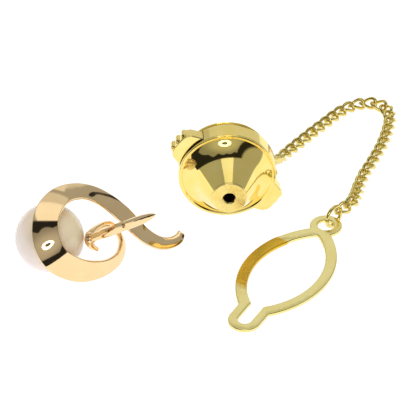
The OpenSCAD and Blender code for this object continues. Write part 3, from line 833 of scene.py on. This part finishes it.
def rounded_end(ring, inner, reach):
    """Rings that close the ribbon beyond its last ring, away from the one before it."""
    middle = np.mean(ring, axis=0)
    way = unit(middle - np.mean(inner, axis=0))
    return [[middle + (p - middle) * math.cos(a) + way * reach * math.sin(a) for p in ring]
            for a in np.radians([25, 45, 62, 76, 86])]


def ribbon_mesh():
    band = smooth(STATIONS, STATION_STEPS)
    rings = []
    for i, (x, y, z, width, lean) in enumerate(band):
        station = i / STATION_STEPS
        way = unit(band[min(i + 1, len(band) - 1)][:3] - band[max(i - 1, 0)][:3])
        flat = unit(np.cross([0, 0, 1], way))
        lean = math.radians(lean)
        across = math.cos(lean) * flat + math.sin(lean) * np.cross(way, flat)
        back = np.cross(way, across)
        thick = min(RIBBON_T, 0.35 + 0.3 * width)
        scooped = share(station, 4.6, 3.0)                          # towards the tail the back is hollow
        swell = math.exp(-((station - 12.8) / 1.1) ** 2)            # the widest part is a little fuller
        crown = CROWN * (1 + swell) * (1 - scooped) - HOLLOW * scooped
        rings.append([np.array([x, y, z]) + u * across + v * back
                      for u, v in ribbon_section(width, thick, crown)])
    return sweep(rounded_end(rings[0], rings[1], 0.16)[::-1] + rings + rounded_end(rings[-1], rings[-2], 0.1))


def pearl_mesh():
    """A drilled pearl with a flat for its cup, and a skin that is very slightly uneven."""
    outline = [(PEARL_R * math.sin(a), PEARL_R * math.cos(a)) for a in np.linspace(math.pi, 0.315, 96)]
    outline += [(1.15, PEARL_R - 0.15), (0.4, PEARL_R - 0.13), (0.4, 0.5), (0, 0.5)]
    points, faces = revolve(outline, 160)
    uneven = []
    for v in map(Vector, points):
        swell = noise.noise(v * 0.35) * 0.012 + noise.noise(v * 1.3 + Vector((7, 3, 1))) * 0.003
        on_skin = v.length > PEARL_R - 0.04
        uneven.append(tuple(v * (1 - 0.006 + min(0.005, swell)) if on_skin else v))
    return uneven, faces


ornament_piece("Ribbon_band", ribbon_mesh(), ORNAMENT, ["ribbon"], sharp=48)
piece("Pearl", pearl_mesh(), PEARL, pearl_nacre, "ornament", ["pearl"], "pearl_nacre")
cup = fillet([(1.15, PEARL_R - 0.1, 0.02), (1.02, PEARL_R + 0.05, 0.05), (0.85, PEARL_R + 0.12, 0.04),
              (0.38, PEARL_R + 0.12, 0), (0.38, PEARL_R - 0.1, 0)], 5)
ornament_piece("Pearl_cup", revolve(cup, 64), PEARL, ["pearl_cup"])
peg = fillet([(0, 0.6, 0), (0.36, 0.6, 0.05), (0.36, PEARL_R + 0.2, 0.05), (0, PEARL_R + 0.2, 0)], 4)
ornament_piece("Pearl_peg", revolve(peg, 40), PEARL, ["pearl_peg"])
collar = fillet([(0.42, 0, 0), (0.75, 0, 0.05), (0.68, 0.14, 0.08), (0.56, 0.33, 0.1), (0.53, 0.4, 0.03),
                 (0.44, 0.4, 0)], 5)
ornament_piece("Post_collar", revolve(collar, 72), POST, ["post_collar"])
# the pin: a tapered foot, a straight part, a narrow neck and a bullet-shaped point
PIN_R = 0.55
pin = fillet([(0, 0, 0), (0.42, 0, 0.03), (0.44, 0.4, 0.3), (PIN_R, 2.3, 2.0), (PIN_R, 5.9, 0.06),
              (0.41, 6.12, 0.05), (PIN_R, 6.4, 0.08), (0.535, 7.9, 1.2), (0.495, 8.8, 1.5), (0.363, 9.9, 1.5),
              (0.198, 10.5, 0.5), (0.066, 10.8, 0.03), (0, 10.8, 0)], 7)
ornament_piece("Tack_pin", revolve(pin, 72), POST, ["tack_post"], sharp=60)

# what is hidden in the drum keeps its CAD shape
for name in ("grip_plate_left", "grip_plate_right", "guide_pins"):
    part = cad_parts[name]
    part.data.materials.clear()
    part.data.materials.append(steel)

# ---------- stage: sizes in metres, and the lens in its own millimetres ----------
WHITE = (1, 1, 1, 1)
FLOOR_X, FLOOR_Y, FLOOR_Z = (-0.08, 0.5), (-0.09, 0.6), -0.00002


def floor_material():
    n = Finish("stage_paper")
    return n.feed(Base_Color=n.ramp(n.noise(40, 2), (0.19, 0.19, 0.19), (0.21, 0.21, 0.21)), Roughness=0.9,
                  Emission_Color=WHITE, Emission_Strength=0.95, Specular_IOR_Level=0.0)


corners = [(FLOOR_X[i], FLOOR_Y[j], FLOOR_Z) for i, j in ((0, 0), (1, 0), (1, 1), (0, 1))]
floor_mesh = bpy.data.meshes.new("Stage_floor")
floor_mesh.from_pydata(corners, [], [(0, 1, 2, 3)])
floor_mesh.materials.append(floor_material())
item = bpy.data.objects.new("Stage_floor", floor_mesh)
scene.collection.objects.link(item)

TARGET = Vector((-0.655, 0.68, 0)) * MM
ELEVATION, DISTANCE = math.radians(36), 0.3
camera_data = bpy.data.cameras.new("Camera")
camera_data.sensor_width = 36
camera_data.lens = 223.3
camera_data.clip_start = 0.01
camera = bpy.data.objects.new("Camera", camera_data)
to_camera = Vector((0, -math.cos(ELEVATION), math.sin(ELEVATION)))
camera.location = TARGET + to_camera * DISTANCE
camera.rotation_euler = (-to_camera).to_track_quat("-Z", "Y").to_euler()
scene.collection.objects.link(camera)
scene.camera = camera

box_data = bpy.data.lights.new("Top_box", "AREA")
box_data.shape = "RECTANGLE"
box_data.size, box_data.size_y = 0.3, 0.34
box_data.energy = 0.6
top_box = bpy.data.objects.new("Top_box", box_data)
box_at = Vector((0, 0.02, 0.42))
top_box.location = box_at
top_box.rotation_euler = box_at.to_track_quat("Z", "Y").to_euler()
top_box.visible_glossy = False
scene.collection.objects.link(top_box)

# ---------- studio ----------
# The world is a light tent, open towards the camera. Its zones are set out by the direction that a ray takes:
# across, back and up are the direction's own X, Y and Z, and angles are in degrees.
world = bpy.data.worlds.new("Studio")
scene.world = world
world.use_nodes = True
world.node_tree.nodes.clear()
sky = Tree(world.node_tree)
direction = sky.add("TexCoord").outputs["Generated"]
across, back, up = sky.add("SeparateXYZ", {"Vector": direction}).outputs
aside = sky.math("ABSOLUTE", across)


def angle_from(way):
    """Degrees between a direction and the one that a ray takes."""
    dot = sky.add("VectorMath", {0: direction, 1: tuple(unit(way))}, operation="DOT_PRODUCT").outputs["Value"]
    return sky.math("MULTIPLY", sky.math("ARCCOSINE", dot), 180 / math.pi)


rear = sky.step(back, 0.74, 0.80)
front = sky.step(back, -0.06, -0.12)
overhead = sky.step(aside, 0.34, 0.29)
behind_loop = sky.all_of(sky.step(back, 0.69, 0.72), sky.step(back, 0.815, 0.80), sky.step(aside, 0.26, 0.20))
dark_spot = sky.step(angle_from((0.69, 0.56, 0.465)), 4.7, 3.7)

# the camera's stand: a grey disc with a scalloped edge, narrower at its top
off_axis = angle_from(to_camera)
round_axis = sky.math("ARCTAN2", across, sky.math("ADD", up, -0.45))
scallop = sky.math("ABSOLUTE", sky.math("SINE", sky.math("MULTIPLY", round_axis, 4.5)))
stand_edge = sky.math("ADD", off_axis, sky.math("MULTIPLY", scallop, -4.0))
stand_edge = sky.math("ADD", stand_edge, sky.math("MULTIPLY", sky.step(up, 0.75, 0.86), 9.0))
stand = sky.all_of(sky.step(stand_edge, 43, 41), sky.step(up, 0.16, 0.20), sky.step(across, 0.46, 0.42))
stand_level = sky.mix(sky.step(off_axis, 14, 38), 0.50, 0.27)
foot = sky.step(sky.math("SUBTRACT", up, sky.math("MULTIPLY", front, -0.12)), 0.03, -0.02)
light_path = sky.add("LightPath")

# from the grey of the tent's sides, each zone covers those before it
level = 0.42
for zone, brightness in (
        (rear, 0.70),                                                   # the rear wall
        (sky.all_of(overhead, sky.step(back, 0.64, 0.56)), 0.72),       # the strip overhead
        (sky.all_of(overhead, sky.step(back, 0.40, 0.34)), 1.05),       # the strip's near part
        (behind_loop, 0.84),                                            # what the flat loop mirrors
        (sky.all_of(sky.step(across, -0.37, -0.40), rear), 0.54),       # the rear wall's shaded end
        (dark_spot, 0.03),                                              # a gap in the tent's cloth
        (sky.all_of(front, sky.step(across, 0.72, 0.62)), 0.02),        # the dark room in front of the tent
        (stand, stand_level),
        (foot, 1.18),                                                   # the white table
        (sky.step(off_axis, 10.2, 9.4), 4.5),                           # the ring lamp, and the lens in it
        (sky.step(off_axis, 5.8, 5.0), 0.15),
        (light_path.outputs["Is Diffuse Ray"], 0.44)):                  # an even fill for what isn't glossy
    level = sky.mix(zone, level, brightness)

tent = sky.add("Background", {"Color": WHITE, "Strength": level})
backdrop = sky.add("Background", {"Color": WHITE, "Strength": 1.0})
shown = sky.add("MixShader", {"Fac": light_path.outputs["Is Camera Ray"], 1: tent.outputs[0],
                              2: backdrop.outputs[0]})
sky.tree.links.new(shown.outputs[0], sky.add("OutputWorld").inputs["Surface"])

scene.view_settings.view_transform = "Standard"
scene.view_settings.look = "None"
